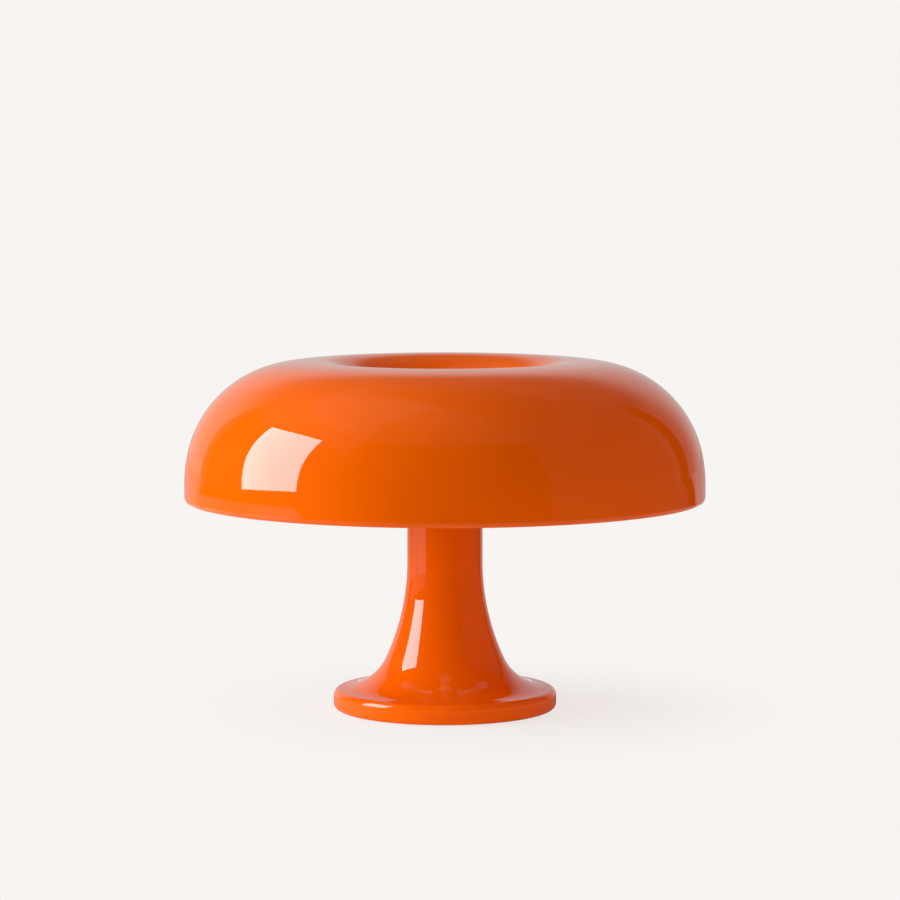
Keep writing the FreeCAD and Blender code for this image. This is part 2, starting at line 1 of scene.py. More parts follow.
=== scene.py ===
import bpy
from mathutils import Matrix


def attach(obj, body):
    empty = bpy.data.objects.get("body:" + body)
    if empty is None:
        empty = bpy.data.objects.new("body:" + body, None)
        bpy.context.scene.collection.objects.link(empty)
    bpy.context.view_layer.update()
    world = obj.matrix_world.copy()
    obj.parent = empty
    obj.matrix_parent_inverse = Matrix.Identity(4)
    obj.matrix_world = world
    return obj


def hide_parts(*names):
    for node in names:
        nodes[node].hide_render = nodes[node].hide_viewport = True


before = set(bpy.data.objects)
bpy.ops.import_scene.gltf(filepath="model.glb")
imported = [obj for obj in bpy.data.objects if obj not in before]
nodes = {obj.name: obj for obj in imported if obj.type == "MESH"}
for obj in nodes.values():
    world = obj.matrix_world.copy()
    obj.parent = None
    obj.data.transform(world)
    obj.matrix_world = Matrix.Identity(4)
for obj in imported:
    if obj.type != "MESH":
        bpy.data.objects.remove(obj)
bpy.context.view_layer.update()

import math

import bpy
import numpy as np
from mathutils import Euler, Matrix

# Mushroom table lamp: the looks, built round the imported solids. Sizes are in millimetres and
# angles in degrees until a piece is made, then metres; +Z is up along the lamp's axis, and the
# camera looks along +Y. Outlines are points (r, z) that are turned about an axis.

MM = 0.001

# ---------------------------------------------------------------- sizes shared with the solids
overall_height = 215.5
shade_radius = 160.0
shade_wall = 3.2
shade_side = 9.5
rim_rounding = 2.0
rim_inner_rounding = 1.0
crest_radius = 78.2
side_arc = 93.0
side_arc_end = 77.0
crest_arc = 165.0
crest_arc_end = 6.6
crater_depth = 38.0
crater_lip = 30.0
crater_wall_angle = 75.0
collar_inner = 28.2
collar_outer = 31.2
collar_low = 169.4

column_radius = 23.2
stem_wall = 3.0
stem_top = 141.0
flare_start = 92.1
long_flare_turn = 24.9
flange_slope = 1.7
flange_height = 13.0
foot_radius = 68.8
foot_edge = 4.0
foot_rounding = 3.4
skirt_wall = 3.6
skirt_low = 0.6

pad_height = 1.2
pad_inner = 52.0
pad_outer = 61.0

bulb_count = 4
bulb_axis = 155.0
hub_reach = 19.985
bulb_foot = hub_reach + 13.0
globe_radius = 22.5
shoulder_radius = 14.0
neck_straight = 1.7
cap_radius = 6.7
cap_length = 24.0
thread_pitch = 2.822
holder_back = hub_reach
holder_front = hub_reach + 32.0
holder_step = hub_reach + 15.0
holder_radius = 12.5
holder_nose = 10.4
socket_radius = 7.55
socket_floor = hub_reach + 10.5

# ---------------------------------------------------------------- detail that only the scene has
rim_softness = 3.2
collar_softness = 0.5
stem_top_softness = 0.4
pad_softness = 0.35
holder_softness = 1.5
flute_depth = 0.45
groove_depth = 0.35
thread_depth = 0.24
thread_start = bulb_foot + 6.0
thread_end = bulb_foot + 20.0
thread_fade = 1.4
thread_middle = 6.42
flute_fade = 1.5
flute_waves = 12
crease_angle = 50.0
corner_share = 0.3  # how far a rounded corner's middle lies inside it, as a share of its radius

# How finely the outlines are stepped (mm) and turned (segments to the full circle).
plain_step = 0.8
shade_outer_step = 1.25
shade_inner_step = 2.5
rim_step = 0.25
rim_points = 16
foot_edge_step = 0.3
pad_step = 0.15
holder_outline_step = 0.25
lip_step = 0.15
thread_step = 0.22
globe_step = 0.6
shade_segments = 300
stem_segments = 256
pad_segments = 160
holder_segments = 144
cap_segments = 96
insulator_segments = 64
globe_segments = 128


def sine(degrees):
    return math.sin(math.radians(degrees))


def cosine(degrees):
    return math.cos(math.radians(degrees))


# ---------------------------------------------------------------- outlines and surfaces
def tangent_path(start, heading, moves, step=plain_step):
    """Points (r, z) of tangent lines and arcs. A line adds length * (cos h, sin h). An arc of
    radius q and sweep s runs on centre + q * (sin, -cos) of h..h + s, turning left for s > 0."""
    point = np.array(start, float)
    pieces = [point[None, :]]
    for move in moves:
        if len(move) == 1:
            count = max(2, int(abs(move[0]) / (4 * step)))
            along = np.linspace(0, move[0], count + 1)[1:, None]
            run = point + along * np.array([cosine(heading), sine(heading)])
        else:
            radius, sweep = move
            side = math.copysign(1.0, sweep)
            centre = point + side * radius * np.array([-sine(heading), cosine(heading)])
            count = max(4, int(radius * abs(math.radians(sweep)) / step))
            angle = np.radians(heading + sweep * np.linspace(0, 1, count + 1)[1:])
            run = centre + side * radius * np.column_stack([np.sin(angle), -np.cos(angle)])
            heading = heading + sweep
        pieces.append(run)
        point = run[-1]
    return np.vstack(pieces), heading


def turned(outline, segments, ripple=None, closed=False):
    """Surface of revolution: (r cos a, r sin a, z) over the outline and the angle a. ripple is
    added to r over the same grid. An outline that ends on the axis is closed by a pole."""
    outline = np.asarray(outline, float)
    angle = np.linspace(0, 2 * np.pi, segments, endpoint=False)
    radius = outline[:, :1] + np.zeros((1, segments))
    if ripple is not None:
        radius = radius + ripple(outline, angle)
    height = outline[:, 1:] + np.zeros((1, segments))
    grid = np.stack([radius * np.cos(angle), radius * np.sin(angle), height], axis=-1)
    first_pole = not closed and outline[0, 0] < 1e-6
    last_pole = not closed and outline[-1, 0] < 1e-6
    body = grid[(1 if first_pole else 0):(-1 if last_pole else None)]
    rows = len(body)
    index = np.arange(rows * segments).reshape(rows, segments)
    lower = index if closed else index[:-1]
    upper = np.roll(index, -1, axis=0) if closed else index[1:]
    quads = np.stack([lower, np.roll(lower, -1, axis=1), np.roll(upper, -1, axis=1), upper],
                     axis=-1)
    faces = quads.reshape(-1, 4).tolist()
    points = body.reshape(-1, 3)
    if first_pole:
        pole = len(points)
        points = np.vstack([points, [0, 0, outline[0, 1]]])
        fan = np.column_stack([np.full(segments, pole), np.roll(index[0], -1), index[0]])
        faces += fan.tolist()
    if last_pole:
        pole = len(points)
        points = np.vstack([points, [0, 0, outline[-1, 1]]])
        fan = np.column_stack([np.full(segments, pole), index[-1], np.roll(index[-1], -1)])
        faces += fan.tolist()
    return points, faces


def laid_out(points, index):
    """Turns a shape made about Z to lie along the radius at 90 * index degrees, on the bulb
    axis: (x, y, z) goes to (z, y, -x), and then round Z."""
    lying = np.column_stack([points[:, 2], points[:, 1], -points[:, 0]])
    turn = np.radians(90.0 * index)
    x = lying[:, 0] * np.cos(turn) - lying[:, 1] * np.sin(turn)
    y = lying[:, 0] * np.sin(turn) + lying[:, 1] * np.cos(turn)
    return np.column_stack([x, y, lying[:, 2] + bulb_axis])


def piece(name, points, faces, finish, body, stands_for=()):
    """One mesh with its faces outwards: the signed volume, the sum of a.(b x c) / 6, is made
    positive by turning every face round where it is not."""
    points = np.asarray(points, float) * MM
    corners = np.array([face[:3] for face in faces])
    quads = np.array([[face[0], face[2], face[3]] for face in faces if len(face) == 4])
    volume = 0.0
    for triangles in (corners, quads):
        if len(triangles):
            a, b, c = (points[triangles[:, k]] for k in range(3))
            volume += np.einsum("ij,ij->i", a, np.cross(b, c)).sum() / 6
    if volume < 0:
        faces = [face[::-1] for face in faces]
    mesh = bpy.data.meshes.new(name)
    mesh.from_pydata(points.tolist(), [], faces)
    mesh.polygons.foreach_set("use_smooth", np.ones(len(faces), bool))
    mesh.materials.append(finish)
    mesh.update()
    made = bpy.data.objects.new(name, mesh)
    bpy.context.scene.collection.objects.link(made)
    mesh.set_sharp_from_angle(angle=math.radians(crease_angle))
    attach(made, body)
    if stands_for:
        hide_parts(*stands_for)


# ---------------------------------------------------------------- finishes
noise_low, noise_high = 0.35, 0.65  # the range that soft noise mostly stays in


def linear(red, green, blue):
    """sRGB 0-255 to the linear values that shader sockets hold."""
    tones = []
    for value in (red, green, blue):
        tone = value / 255
        tones.append(tone / 12.92 if tone <= 0.04045 else ((tone + 0.055) / 1.055) ** 2.4)
    return (tones[0], tones[1], tones[2], 1.0)


def new_finish(name):
    made = bpy.data.materials.new(name)
    made.use_nodes = True
    tree = made.node_tree
    shader = next(node for node in tree.nodes if node.type == "BSDF_PRINCIPLED")
    place = tree.nodes.new("ShaderNodeTexCoord")
    return made, tree, shader, place


def cloudy(tree, place, scale, detail=4.0, rough=0.55):
    """Soft noise on the piece's own coordinates, scale waves to the metre."""
    noise = tree.nodes.new("ShaderNodeTexNoise")
    noise.inputs["Scale"].default_value = scale
    noise.inputs["Detail"].default_value = detail
    noise.inputs["Roughness"].default_value = rough
    tree.links.new(place.outputs["Object"], noise.inputs["Vector"])
    return noise.outputs["Fac"]


def ranged(tree, value, low, high):
    span = tree.nodes.new("ShaderNodeMapRange")
    span.inputs["From Min"].default_value = noise_low
    span.inputs["From Max"].default_value = noise_high
    span.inputs["To Min"].default_value = low
    span.inputs["To Max"].default_value = high
    tree.links.new(value, span.inputs["Value"])
    return span.outputs["Result"]


def shaded(tree, value, dark, light):
    ramp = tree.nodes.new("ShaderNodeValToRGB")
    ramp.color_ramp.elements[0].position = noise_low
    ramp.color_ramp.elements[0].color = dark
    ramp.color_ramp.elements[1].position = noise_high
    ramp.color_ramp.elements[1].color = light
    tree.links.new(value, ramp.inputs["Fac"])
    return ramp.outputs["Color"]


def dented(tree, shader, value, depth, before=None):
    """Relief of the given depth in metres, laid over the relief before it."""
    bump = tree.nodes.new("ShaderNodeBump")
    bump.inputs["Strength"].default_value = 1.0
    bump.inputs["Distance"].default_value = depth
    tree.links.new(value, bump.inputs["Height"])
    if before is not None:
        tree.links.new(before, bump.inputs["Normal"])
    tree.links.new(bump.outputs["Normal"], shader.inputs["Normal"])
    return bump.outputs["Normal"]


def polished_plastic(name, dark, light, rough_low, rough_high):
    """Clear-coloured gloss moulding: slow drift of the colour, faint flow waves and a finer
    orange peel."""
    made, tree, shader, place = new_finish(name)
    drift = cloudy(tree, place, 9.0, 3.0)
    tree.links.new(shaded(tree, drift, dark, light), shader.inputs["Base Color"])
    haze = cloudy(tree, place, 60.0, 5.0)
    tree.links.new(ranged(tree, haze, rough_low, rough_high), shader.inputs["Roughness"])
    waves = dented(tree, shader, cloudy(tree, place, 22.0, 1.0), 0.00003)
    dented(tree, shader, cloudy(tree, place, 420.0, 2.0), 0.0000012, waves)
    shader.inputs["IOR"].default_value = 1.5
    return made


def grained_plastic(name, dark, light, rough, grain, depth):
    """Fine-grained moulding, rubber or cast skin: one cloud for tone and gloss, a fine grain."""
    made, tree, shader, place = new_finish(name)
    tone = cloudy(tree, place, 30.0, 4.0)
    tree.links.new(shaded(tree, tone, dark, light), shader.inputs["Base Color"])
    tree.links.new(ranged(tree, tone, rough - 0.05, rough + 0.05), shader.inputs["Roughness"])
    dented(tree, shader, cloudy(tree, place, grain, 3.0), depth)
    return made


def plated_metal(name, dark, light, rough_low, rough_high, grain, depth):
    """Plated or rolled metal: patches of tone, finer rubbed patches of gloss, a fine grain."""
    made, tree, shader, place = new_finish(name)
    patches = cloudy(tree, place, 90.0, 5.0, 0.6)
    tree.links.new(shaded(tree, patches, dark, light), shader.inputs["Base Color"])
    rubbed = cloudy(tree, place, 260.0, 4.0)
    tree.links.new(ranged(tree, rubbed, rough_low, rough_high), shader.inputs["Roughness"])
    dented(tree, shader, cloudy(tree, place, grain, 4.0), depth)
    shader.inputs["Metallic"].default_value = 1.0
    return made


def frosted_glass(name, dark, light, rough_low, rough_high):
    """Inside-frosted envelope: a soft white body under a smooth outer skin."""
    made, tree, shader, place = new_finish(name)
    cloud = cloudy(tree, place, 45.0, 4.0)
    tree.links.new(shaded(tree, cloud, dark, light), shader.inputs["Base Color"])
    tree.links.new(ranged(tree, cloud, rough_low, rough_high), shader.inputs["Roughness"])
    shader.inputs["Coat Weight"].default_value = 1.0
    shader.inputs["Coat Roughness"].default_value = 0.03
    return made


orange = polished_plastic("orange_moulding", linear(221, 85, 1), linear(227, 89, 1),
                          rough_low=0.015, rough_high=0.035)
black = grained_plastic("black_moulding", linear(20, 20, 20), linear(30, 30, 31),
                        rough=0.55, grain=900.0, depth=0.00004)
ivory = grained_plastic("ivory_moulding", linear(226, 221, 206), linear(236, 232, 219),
                        rough=0.38, grain=700.0, depth=0.00001)
pad_rubber = grained_plastic("pad_rubber", linear(17, 17, 18), linear(29, 28, 28),
                             rough=0.82, grain=1400.0, depth=0.00006)
iron = grained_plastic("cast_iron_skin", linear(52, 52, 54), linear(80, 79, 80),
                       rough=0.7, grain=500.0, depth=0.0002)
zinc = plated_metal("zinc_plate", linear(176, 178, 178), linear(203, 202, 194),
                    rough_low=0.24, rough_high=0.40, grain=700.0, depth=0.000004)
brass = plated_metal("brass_sheet", linear(188, 146, 74), linear(214, 176, 100),
                     rough_low=0.20, rough_high=0.36, grain=600.0, depth=0.000004)
nickel = plated_metal("nickel_cap", linear(196, 192, 184), linear(220, 217, 209),
                      rough_low=0.14, rough_high=0.26, grain=500.0, depth=0.000003)
solder = plated_metal("solder_tip", linear(160, 160, 160), linear(190, 189, 186),
                      rough_low=0.34, rough_high=0.5, grain=400.0, depth=0.00003)
# Greyer than frosted glass is: painted shade, so the bulbs inside the lampshade, and their
# reflections in the foot, stay dim.
frosted = frosted_glass("frosted_envelope_shaded", linear(186, 183, 174), linear(203, 200, 191),
                        rough_low=0.34, rough_high=0.42)
cap_glass = grained_plastic("black_cap_glass", linear(14, 13, 13), linear(22, 20, 19),
                            rough=0.12, grain=300.0, depth=0.000004)
brown_wire = grained_plastic("brown_insulation", linear(88, 50, 28), linear(101, 58, 33),
                             rough=0.4, grain=500.0, depth=0.00001)
blue_wire = grained_plastic("blue_insulation", linear(30, 82, 140), linear(38, 92, 152),
                            rough=0.4, grain=500.0, depth=0.00001)

cad_finishes = {
    "base_plate": black,
    "base_screws": zinc,
    "ballast_ring": iron,
    "cable_inlet_bush": black,
    "terminal_block": ivory,
    "terminal_screws": zinc,
    "tie_tube": zinc,
    "lower_washer": zinc,
    "lower_nut": zinc,
    "socket_hub": zinc,
    "upper_washer": zinc,
    "upper_nut": zinc,
    "hub_lid": ivory,
    "lid_screws": zinc,
    "holder_screws": zinc,
    "lead_live": brown_wire,
    "lead_neutral": blue_wire,
    "live_link": brown_wire,
    "neutral_link": blue_wire,
    "stem_and_foot": orange,
    "shade": orange,
    "foot_pad": pad_rubber,
}
bulb_finishes = {
    "lampholder": ivory,
    "holder_shell": brass,
    "holder_contact": brass,
    "bulb_contact": solder,
    "bulb_cap": nickel,
    "bulb_glass": frosted,
}
for part, finish in bulb_finishes.items():
    for number in range(1, bulb_count + 1):
        cad_finishes["%s_%d" % (part, number)] = finish
for name, finish in cad_finishes.items():
    for place in nodes[name].material_slots:
        place.material = finish


# ---------------------------------------------------------------- shade
def shade_outline():
    """Side wall, three tangent arcs to the crest, the crater's lip and bowl, and the same set in
    by the wall: every arc keeps its centre and loses or gains the wall. The rim is a quarter
    circle inside, a flat, and outside a quarter ellipse rim_rounding wide, rim_softness high."""
    side_run = side_arc * (1 - sine(side_arc_end))
    crest_run = crest_arc * sine(crest_arc_end)
    main_arc = ((shade_radius - crest_radius - side_run - crest_run)
                / (sine(side_arc_end) - sine(crest_arc_end)))
    rise = (side_arc * cosine(side_arc_end)
            + main_arc * (cosine(crest_arc_end) - cosine(side_arc_end))
            + crest_arc * (1 - cosine(crest_arc_end)))
    wall_top = overall_height - rise
    rim_height = wall_top - shade_side
    bowl_arc = crater_depth / (1 - cosine(crater_wall_angle)) - crater_lip
    floor_radius = crest_radius - (crater_lip + bowl_arc) * sine(crater_wall_angle)

    def wall(offset, begin, floor_run, step):
        moves = [(wall_top - begin,),
                 (side_arc - offset, 90 - side_arc_end),
                 (main_arc - offset, side_arc_end - crest_arc_end),
                 (crest_arc - offset, crest_arc_end),
                 (crater_lip - offset, crater_wall_angle),
                 (bowl_arc + offset, -crater_wall_angle),
                 (floor_run,)]
        return tangent_path((shade_radius - offset, begin), 90, moves, step)[0]

    inner_begin = rim_height + rim_inner_rounding
    outer = wall(0, rim_height + rim_softness, floor_radius, shade_outer_step)
    inner = wall(shade_wall, inner_begin, floor_radius - collar_outer, shade_inner_step)
    lip = tangent_path((shade_radius - shade_wall, inner_begin), -90,
                       [(rim_inner_rounding, 90),
                        (shade_wall - rim_inner_rounding - rim_rounding,)], rim_step)[0]
    sweep = np.radians(np.linspace(0, 90, rim_points)[1:])[:, None]
    outside = (lip[-1] + np.array([0.0, rim_softness])
               + np.hstack([rim_rounding * np.sin(sweep), -rim_softness * np.cos(sweep)]))
    rim = np.vstack([lip, outside])
    return outer, inner, rim


def make_shade():
    """The turned wall, with the collar that drops over the hub lid under its crater."""
    outer, inner, rim = shade_outline()
    under = overall_height - crater_depth - shade_wall
    inner = inner[inner[:, 0] > collar_outer + 0.3]
    soft = collar_softness
    cut = soft * corner_share
    collar = [(collar_outer, under + 0.15), (collar_outer, collar_low + soft),
              (collar_outer - cut, collar_low + cut),
              (collar_outer - soft, collar_low), (collar_inner + soft, collar_low),
              (collar_inner + cut, collar_low + cut),
              (collar_inner, collar_low + soft), (collar_inner, under),
              (collar_inner * 0.66, under), (collar_inner * 0.33, under), (0, under)]
    outline = np.vstack([outer[::-1][:-1], rim[::-1][:-1], inner, collar])
    outline[0, 0] = 0.0
    return turned(outline, shade_segments)


points, faces = make_shade()
piece("shade_moulding", points, faces, orange, "shade", ["shade"])


# ---------------------------------------------------------------- stem and foot
def flare_arcs():
    """Radii of the two flare arcs: with turns a, then b, across = p (1 - cos a) +
    q (cos a - cos b) and down = p sin a + q (sin b - sin a), solved for p and q."""
    flange_turn = 90 - flange_slope
    across = foot_radius - foot_edge * (1 - sine(flange_slope)) - column_radius
    down = flare_start - flange_height
    long_side, long_down = 1 - cosine(long_flare_turn), sine(long_flare_turn)
    short_side = cosine(long_flare_turn) - cosine(flange_turn)
    short_down = sine(flange_turn) - sine(long_flare_turn)
    spread = short_side * long_down - short_down * long_side
    return ((down * short_side - across * short_down) / spread,
            (across * long_down - down * long_side) / spread)


def stem_wall_path(offset, floor):
    """Column, two flare arcs, flange, edge and skirt, set in by offset. Only the outside, with
    offset 0, has the soft top and the rounded lower edge."""
    outside = offset == 0
    long_flare, short_flare = flare_arcs()
    begin = stem_top - (stem_top_softness if outside else 0)
    path, heading = tangent_path((column_radius - offset, begin), -90,
                                 [(begin - flare_start,), (long_flare + offset, long_flare_turn),
                                  (short_flare + offset, 90 - long_flare_turn - flange_slope)])
    edge = foot_radius - (0 if outside else skirt_wall)
    corner = (edge - path[-1, 0]) / (1 - sine(flange_slope))
    turn = tangent_path(path[-1], heading, [(corner, -(90 - flange_slope))], foot_edge_step)[0]
    rounding = foot_rounding if outside else 0.0
    down = tangent_path(turn[-1], -90, [(turn[-1, 1] - floor - rounding,)])[0]
    pieces = [path, turn[1:], down[1:]]
    if outside:
        pieces.append(tangent_path(down[-1], -90, [(rounding, -90)], foot_edge_step)[0][1:])
    return np.vstack(pieces)


outer = stem_wall_path(0, skirt_low)
inner = stem_wall_path(stem_wall, skirt_low)
cut = stem_top_softness * corner_share
top = np.array([(column_radius - stem_wall, stem_top),
                (column_radius - stem_top_softness, stem_top),
                (column_radius - cut, stem_top - cut)])
outline = np.vstack([top, outer, inner[::-1][:-1]])
points, faces = turned(outline, stem_segments, closed=True)
piece("stem_and_foot_moulding", points, faces, orange, "lamp_body",
      ["stem_and_foot"])


# ---------------------------------------------------------------- foot pad
def ring_outline(inner_radius, outer_radius, low, high, soft):
    """A rectangle with its four corners rounded by quarter circles of radius soft."""
    up = high - low - 2 * soft
    across = outer_radius - inner_radius - 2 * soft
    half_way_round = [(up,), (soft, 90), (across,), (soft, 90)]
    path = tangent_path((outer_radius, low + soft), 90, half_way_round * 2, pad_step)[0]
    return path[:-1]


points, faces = turned(ring_outline(pad_inner, pad_outer, 0, pad_height, pad_softness),
                       pad_segments, closed=True)
piece("foot_pad_ring", points, faces, pad_rubber, "lamp_body", ["foot_pad"])


# ---------------------------------------------------------------- lampholders and bulbs
def faded(along, start, end, length):
    """0 outside start..end, 1 between, straight slopes of the given length at both ends."""
    return np.clip((along - start) / length, 0, 1) * np.clip((end - along) / length, 0, 1)


def flutes(outline, angle):
    """Grip flutes, two to a wave: flute_depth * (1 - |cos(flute_waves * a)|) between the soft
    ends of the back body."""
    fade = faded(outline[:, 1], holder_back + 3.0, holder_step - 3.0, flute_fade)
    outside = outline[:, 0] > holder_radius - 0.2
    depth = flute_depth * (1 - np.abs(np.cos(flute_waves * angle)))
    return -(fade * outside)[:, None] * depth[None, :]


def holder_outline():
    """Rounded back body, a nose with three grooves, the rounded mouth and the socket in it."""
    soft = holder_softness
    body = tangent_path((0, holder_back), 0,
                        [(holder_radius - soft,), (soft, 90),
                         (holder_step - holder_back - 2 * soft,), (soft, 90),
                         (holder_radius - holder_nose - soft,)], holder_outline_step)[0]
    rings = []
    for groove in (holder_back + 18.0, holder_back + 21.0, holder_back + 24.0):
        rings += [(holder_nose, groove), (holder_nose - groove_depth, groove + 0.4),
                  (holder_nose - groove_depth, groove + 0.9), (holder_nose, groove + 1.3)]
    lip = tangent_path((holder_nose, holder_front - 2.0), 90,
                       [(1.0,), (1.0, 90), (0.8,), (0.6, 90)], lip_step)[0]
    lip = lip[lip[:, 0] > socket_radius + 0.02]
    socket = [(socket_radius, holder_front - 3.0), (socket_radius, socket_floor + 8),
              (socket_radius, socket_floor), (2.6, socket_floor), (0, socket_floor)]
    return np.vstack([body, rings, lip, socket])


def cap_thread(outline, angle):
    """Rolled round thread: thread_depth * cos(2 pi s / pitch - a), faded out at both ends."""
    along = outline[:, 1]
    phase = 2 * np.pi * along[:, None] / thread_pitch - angle[None, :]
    fade = faded(along, thread_start, thread_end, thread_fade)
    return fade[:, None] * thread_depth * np.cos(phase)


def cap_outline():
    """Back cone, the threaded wall, the skirt at the globe, and the inside of the sheet."""
    start = bulb_foot + 4.2
    front = bulb_foot + cap_length
    back = [(5.3, start), (5.9, start + 0.5), (6.2, start + 1.1)]
    threaded = [(thread_middle, along)
                for along in np.arange(thread_start, thread_end + 0.01, thread_step)]
    skirt = [(6.45, front - 3.4), (6.5, front - 3.0), (6.5, front - 1.0),
             (cap_radius, front - 0.5), (cap_radius, front)]
    inside = [(cap_radius - 0.35, front), (6.1, front - 0.8), (6.1, bulb_foot + 8.0),
              (5.9, bulb_foot + 6.0), (5.0, start + 0.6)]
    return np.array(back + threaded + skirt + inside)


def globe_outline():
    """Straight neck, a concave shoulder arc tangent to it and to the globe, then the globe."""
    bead = cap_radius + 0.4
    mouth = bulb_foot + cap_length
    turn = math.degrees(math.acos((bead + shoulder_radius) / (globe_radius + shoulder_radius)))
    neck = np.array([(0, mouth - 5.0), (3.0, mouth - 5.0), (6.0, mouth - 5.0),
                     (6.1, mouth - 0.2), (6.3, mouth + 0.05), (6.9, mouth + 0.25),
                     (bead - 0.1, mouth + 0.6), (bead, mouth + 1.1)])
    curve = tangent_path((bead, mouth + neck_straight), 90,
                         [(shoulder_radius, -turn), (globe_radius, 90 + turn)], globe_step)[0]
    curve[-1, 0] = 0.0
    return np.vstack([neck, curve])


def insulator_outline():
    """The black glass between the cap and its foot contact: a cone with a hole in it."""
    start = bulb_foot + 1.4
    return np.array([(2.25, start), (3.0, start + 0.35), (3.6, start + 1.1), (4.4, start + 2.2),
                     (5.25, start + 2.9), (5.25, start + 4.0), (2.25, start + 4.0)])


holder = turned(holder_outline(), holder_segments, ripple=flutes)
cap = turned(cap_outline(), cap_segments, ripple=cap_thread, closed=True)
insulator = turned(insulator_outline(), insulator_segments, closed=True)
globe = turned(globe_outline(), globe_segments)
for index in range(bulb_count):
    number = index + 1
    bulb = "bulb_%d" % number
    piece("holder_moulding_%d" % number, laid_out(holder[0], index), holder[1], ivory,
          "lamp_body", ["lampholder_%d" % number])
    piece("threaded_cap_%d" % number, laid_out(cap[0], index), cap[1], nickel,
          bulb, ["bulb_cap_%d" % number])
    piece("cap_insulator_%d" % number, laid_out(insulator[0], index), insulator[1], cap_glass,
          bulb)
    piece("globe_%d" % number, laid_out(globe[0], index), globe[1], frosted,
          bulb, ["bulb_glass_%d" % number])


# ---------------------------------------------------------------- camera
# Fitted to the photograph: the focal length and the axis' column in its pixels, the rest in
# metres and radians. All that follows is in metres too.
photo_focal = 3331.0
frame_pixels = 900.0
camera_distance = 2.040
camera_height = 0.345
camera_pitch = -0.09025
axis_column = 444.9

lens = bpy.data.cameras.new("photo_camera")
lens.sensor_width = 36.0
lens.lens = photo_focal / frame_pixels * lens.sensor_width
lens.clip_end = 50.0
camera = bpy.data.objects.new("photo_camera", lens)
camera.location = (0.0, -camera_distance, camera_height)
aim = (axis_column - frame_pixels / 2) / photo_focal
camera.rotation_euler = (math.pi / 2 + camera_pitch, 0.0, aim)
bpy.context.scene.collection.objects.link(camera)
bpy.context.scene.camera = camera

# ---------------------------------------------------------------- studio
backdrop_colour = linear(247, 244, 241)
mirrored_tone = (1.0, 0.985, 0.965, 1.0)
bounce_tone = (1.0, 0.94, 0.90, 1.0)
lit_paper = (0.80, 0.785, 0.765, 1.0)
dim_paper = (0.70, 0.69, 0.67, 1.0)


class Wiring:
    """Short names for the value nodes of one node tree."""

    def __init__(self, tree):
        self.tree = tree
        self.tree.nodes.clear()

    def node(self, kind, **sockets):
        made = self.tree.nodes.new(kind)
        for name, value in sockets.items():
            self.join(made.inputs[name], value)
        return made

    def join(self, socket, value):
        if isinstance(value, bpy.types.NodeSocket):
            self.tree.links.new(value, socket)
        else:
            socket.default_value = value

    def maths(self, operation, first, second=0.0):
        made = self.tree.nodes.new("ShaderNodeMath")
        made.operation = operation
        self.join(made.inputs[0], first)
        self.join(made.inputs[1], second)
        return made.outputs["Value"]

    def rise(self, value, low, high, under=0.0, over=1.0):
        """under below low, over above high, smooth between."""
        span = self.tree.nodes.new("ShaderNodeMapRange")
        span.interpolation_type = "SMOOTHSTEP"
        for name, bound in (("From Min", low), ("From Max", high), ("To Min", under),
                            ("To Max", over)):
            span.inputs[name].default_value = bound
        self.join(span.inputs["Value"], value)
        return span.outputs["Result"]

    def fall(self, value, low, high, under=1.0):
        return self.rise(value, low, high, under, 0.0)

    def product(self, *values):
        result = values[0]
        for value in values[1:]:
            result = self.maths("MULTIPLY", result, value)
        return result

    def total(self, *values):
        result = values[0]
        for value in values[1:]:
            result = self.maths("ADD", result, value)
        return result

    def angles(self, vector):
        """Bearing round Z in degrees, 0 at the back and minus on the left, the lift from level
        in degrees, and the upward share of the vector."""
        split = self.node("ShaderNodeSeparateXYZ", Vector=vector)
        bearing = self.maths("DEGREES", self.maths("ARCTAN2", split.outputs["X"],
                                                   split.outputs["Y"]))
        lift = self.maths("DEGREES", self.maths("ARCSINE", split.outputs["Z"]))
        return bearing, lift, split.outputs["Z"]

    def lobe(self, vector, bearing, lift, power):
        """max(0, direction . pole) ** power, about a pole at the given bearing and lift."""
        dot = self.tree.nodes.new("ShaderNodeVectorMath")
        dot.operation = "DOT_PRODUCT"
        self.join(dot.inputs[0], vector)
        dot.inputs[1].default_value = (sine(bearing) * cosine(lift),
                                       cosine(bearing) * cosine(lift), sine(lift))
        return self.maths("POWER", self.maths("MAXIMUM", dot.outputs["Value"], 0.0), power)

    def mixed(self, factor, first, second):
        made = self.tree.nodes.new("ShaderNodeMixShader")
        self.join(made.inputs["Fac"], factor)
        self.join(made.inputs[1], first)
        self.join(made.inputs[2], second)
        return made.outputs["Shader"]


# What the polished skin mirrors, as edges in bearing (0 behind the lamp, minus on the left, 180
# towards the camera) and in lift above level: a bright sheet behind the lamp, with a dimmer
# margin at its left and a dark gap at its right; a screen high on the left; a roof and, over the
# dark open front, a dim lintel; a panel on the right, brightest in a strip by the gap; and a
# faint panel on the left.
sheet_light = 0.62
sheet_margin_share = 0.22
sheet_margin = (-54.0, -46.0)
sheet_left = (-45.6, -43.0)
sheet_shading = (20.0, 43.8)
sheet_right_share = 0.33
sheet_right = (43.8, 45.4)
sheet_top = (22.0, 44.0)
screen_light = 0.22
screen_left = (-140.0, -110.0)
screen_right = (-50.0, -15.0)
screen_foot = (48.0, 59.0)
open_front = (128.0, 136.0)
roof_light = 0.14
roof_foot = (32.0, 44.0)
roof_dimmer = (58.0, 64.0)
roof_top_share = 0.65
roof_shading = (20.0, 60.0)
roof_right_share = 0.80
lintel_light = 0.10
lintel_top_light = 0.07
lintel_foot = (46.0, 50.0)
lintel_top = (58.0, 76.0)
panel_light = 0.085
strip_light = 0.07
panel_start = (53.2, 54.8)
panel_end = (132.5, 135.0)
panel_top = (30.0, 44.0)
strip_end = (56.0, 60.0)
left_light = 0.03
left_start = (-135.0, -132.5)
